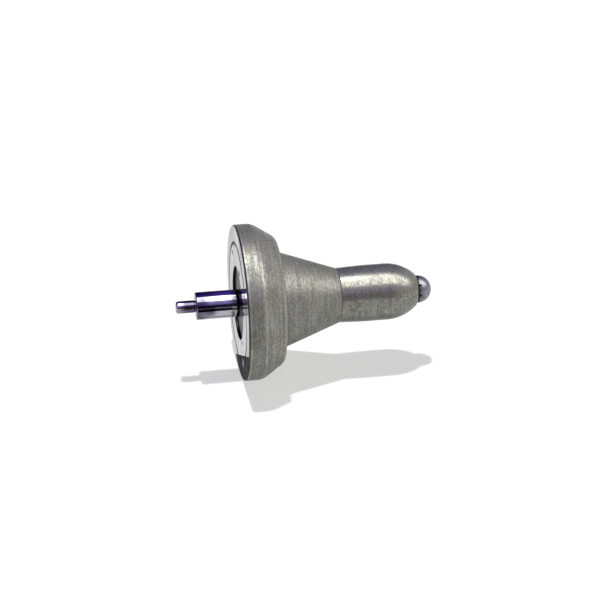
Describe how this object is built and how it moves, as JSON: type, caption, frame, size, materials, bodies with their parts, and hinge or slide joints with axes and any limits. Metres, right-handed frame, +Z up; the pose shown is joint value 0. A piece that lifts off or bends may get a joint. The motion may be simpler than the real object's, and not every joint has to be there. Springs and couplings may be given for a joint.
{
  "type": "oil injection nozzle",
  "caption": "Flanged, liquid-cooled oil spray nozzle: conical steel body with lapped rear face, domed multi-hole tip and a sliding lapped needle drawn partly out of its guide.",
  "frame": {"origin": "centre of the lapped rear face, on the nozzle's axis", "axes": "+X along the axis in the spray direction, from the rear face to the spray tip; +Z up; the needle slides along X"},
  "size_m": [0.0747, 0.045, 0.045],
  "materials": {
    "housing_steel": "turned and phosphated grey steel, dull, fine turning marks round the axis",
    "lapped_steel": "hardened steel, mirror lapped on the rear face",
    "needle_steel": "mirror ground tool steel with a blue-violet heat tint",
    "sleeve_steel": "turned and phosphated grey steel",
    "baffle_brass": "drawn brass tube, dull",
    "tip_steel": "ground steel, satin, slightly blued by heat",
    "pin_steel": "ground dowel steel",
    "seal_copper": "annealed copper"
  },
  "bodies": {
    "nozzle": {"nozzle_housing": "housing_steel", "guide_body": "lapped_steel", "nose_sleeve": "sleeve_steel", "coolant_baffle": "baffle_brass", "spray_tip": "tip_steel", "tip_pin": "pin_steel", "tip_seal_ring": "seal_copper", "guide_seal_ring": "seal_copper", "guide_dowel": "pin_steel"},
    "needle": {"needle": "needle_steel"}
  },
  "joints": [
    {"name": "needle_slide", "type": "slide", "parent": "nozzle", "child": "needle", "axis": [1, 0, 0], "range_m": [-0.034, 0.013]}
  ]
}
